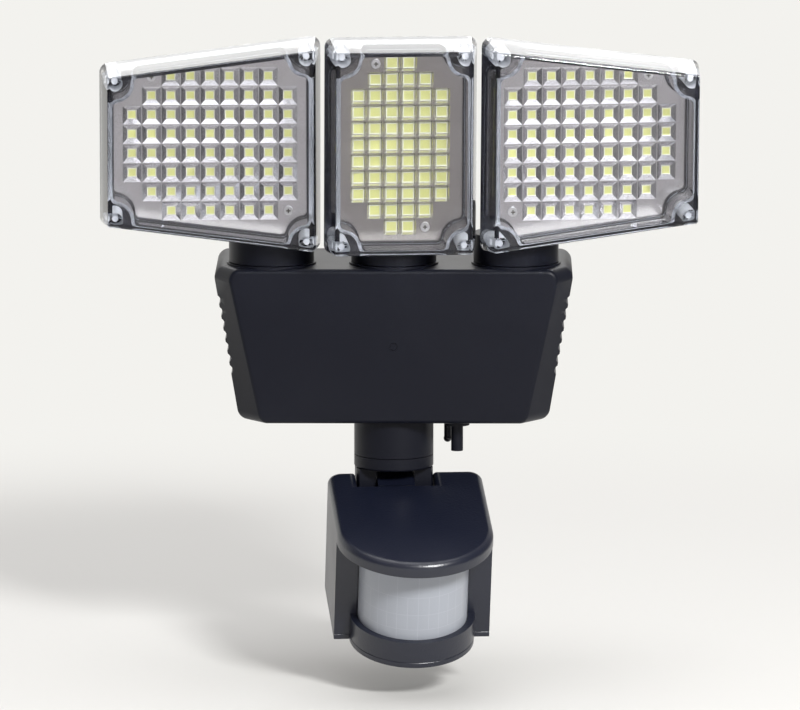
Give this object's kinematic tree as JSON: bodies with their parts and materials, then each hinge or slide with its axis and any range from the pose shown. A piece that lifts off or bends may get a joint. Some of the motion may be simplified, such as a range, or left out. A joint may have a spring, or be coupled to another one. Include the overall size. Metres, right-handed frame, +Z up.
{
  "type": "solar floodlight",
  "caption": "Wall-mounted solar floodlight: drafted clear lamp heads on swivel turrets over a trapezoid battery housing, with a visored motion sensor hung on a neck below.",
  "frame": {"origin": "centre of the wall bracket's back face, on the wall", "axes": "+Z up, -Y out of the wall the way the light faces, +X to the right of a person facing the light"},
  "size_m": [0.2474, 0.1292, 0.2605],
  "materials": {
    "black_housing": "fine-grained black moulding",
    "clear_lens": "clear polished moulding",
    "silver_reflector": "vacuum-metallised",
    "lamp_phosphor": "cream phosphor under clear resin",
    "lamp_board": "white solder mask",
    "circuit_board": "green solder mask",
    "milky_lens": "translucent milky sheet",
    "black_rubber": "matt",
    "screw_steel": "zinc plated",
    "bracket_steel": "black powder coat",
    "cell_wrap": "shrink wrap"
  },
  "bodies": {
    "battery_housing": {"front_shell": "black_housing", "rear_cover": "black_housing", "housing_seal": "black_rubber", "housing_screws": "screw_steel", "wall_bracket": "bracket_steel", "lock_screw": "screw_steel", "battery_holder": "black_housing", "battery_cells": "cell_wrap", "control_board": "circuit_board", "board_screws": "screw_steel", "panel_inlet": "black_housing", "switch_bushing": "black_housing", "sensor_neck": "black_housing", "neck_nut": "black_housing"},
    "mode_lever": {"mode_toggle": "black_housing"},
    "left_swivel": {"left_turret": "black_housing", "left_pan_retainer": "black_housing", "left_tilt_pin": "screw_steel"},
    "left_head": {"left_head_housing": "black_housing", "left_head_gasket": "black_rubber", "left_lens": "clear_lens", "left_lens_screws": "screw_steel", "left_led_board": "lamp_board", "left_leds": "lamp_phosphor", "left_reflector": "silver_reflector", "left_reflector_screws": "screw_steel"},
    "centre_swivel": {"centre_turret": "black_housing", "centre_pan_retainer": "black_housing", "centre_tilt_pin": "screw_steel"},
    "centre_head": {"centre_head_housing": "black_housing", "centre_head_gasket": "black_rubber", "centre_lens": "clear_lens", "centre_lens_screws": "screw_steel", "centre_led_board": "lamp_board", "centre_leds": "lamp_phosphor", "centre_reflector": "silver_reflector", "centre_reflector_screws": "screw_steel"},
    "right_swivel": {"right_turret": "black_housing", "right_pan_retainer": "black_housing", "right_tilt_pin": "screw_steel"},
    "right_head": {"right_head_housing": "black_housing", "right_head_gasket": "black_rubber", "right_lens": "clear_lens", "right_lens_screws": "screw_steel", "right_led_board": "lamp_board", "right_leds": "lamp_phosphor", "right_reflector": "silver_reflector", "right_reflector_screws": "screw_steel"},
    "sensor_swivel": {"sensor_collar": "black_housing", "sensor_retainer": "black_housing", "sensor_tilt_pin": "screw_steel"},
    "motion_sensor": {"sensor_housing": "black_housing", "sensor_base": "black_housing", "sensor_screws": "screw_steel", "fresnel_lens": "milky_lens", "sensor_board": "circuit_board", "pyro_sensor": "screw_steel"},
    "time_dial": {"time_dial": "black_housing"},
    "range_dial": {"range_dial": "black_housing"}
  },
  "joints": [
    {"name": "left_pan", "type": "hinge", "parent": "battery_housing", "child": "left_swivel", "pos_m": [-0.051, -0.053, 0.0385], "axis": [0, 0, 1], "range_deg": [-45, 0]},
    {"name": "left_tilt", "type": "hinge", "parent": "left_swivel", "child": "left_head", "pos_m": [-0.051, -0.053, 0.0585], "axis": [0.999, 0.0454, 0], "range_deg": [-24.5, 12.5]},
    {"name": "centre_pan", "type": "hinge", "parent": "battery_housing", "child": "centre_swivel", "pos_m": [0, -0.053, 0.0385], "axis": [0, 0, 1], "range_deg": [-1.5, 1.5]},
    {"name": "centre_tilt", "type": "hinge", "parent": "centre_swivel", "child": "centre_head", "pos_m": [0, -0.053, 0.0585], "axis": [0.9954, 0.0958, 0], "range_deg": [-25.5, 11.5]},
    {"name": "right_pan", "type": "hinge", "parent": "battery_housing", "child": "right_swivel", "pos_m": [0.051, -0.053, 0.0385], "axis": [0, 0, 1], "range_deg": [0, 45]},
    {"name": "right_tilt", "type": "hinge", "parent": "right_swivel", "child": "right_head", "pos_m": [0.051, -0.053, 0.0585], "axis": [0.9888, 0.1495, 0], "range_deg": [-24.7, 12.3]},
    {"name": "sensor_pan", "type": "hinge", "parent": "battery_housing", "child": "sensor_swivel", "pos_m": [0, -0.05, -0.0423], "axis": [0, 0, 1], "range_deg": [-65.9, 54.1]},
    {"name": "sensor_tilt", "type": "hinge", "parent": "sensor_swivel", "child": "motion_sensor", "pos_m": [0, -0.05, -0.056], "axis": [0.9947, 0.1028, 0], "range_deg": [-16.9, 27.1]},
    {"name": "time_dial_turn", "type": "hinge", "parent": "motion_sensor", "child": "time_dial", "pos_m": [-0.00675, -0.06052, -0.10708], "axis": [0.0316, -0.3057, 0.9516], "range_deg": [-135, 135]},
    {"name": "range_dial_turn", "type": "hinge", "parent": "motion_sensor", "child": "range_dial", "pos_m": [0.01712, -0.05806, -0.10708], "axis": [0.0316, -0.3057, 0.9516], "range_deg": [-135, 135]},
    {"name": "mode_switch", "type": "hinge", "parent": "battery_housing", "child": "mode_lever", "pos_m": [0.0225, -0.042, -0.0255], "axis": [0, 1, 0], "range_deg": [-12, 12]}
  ]
}
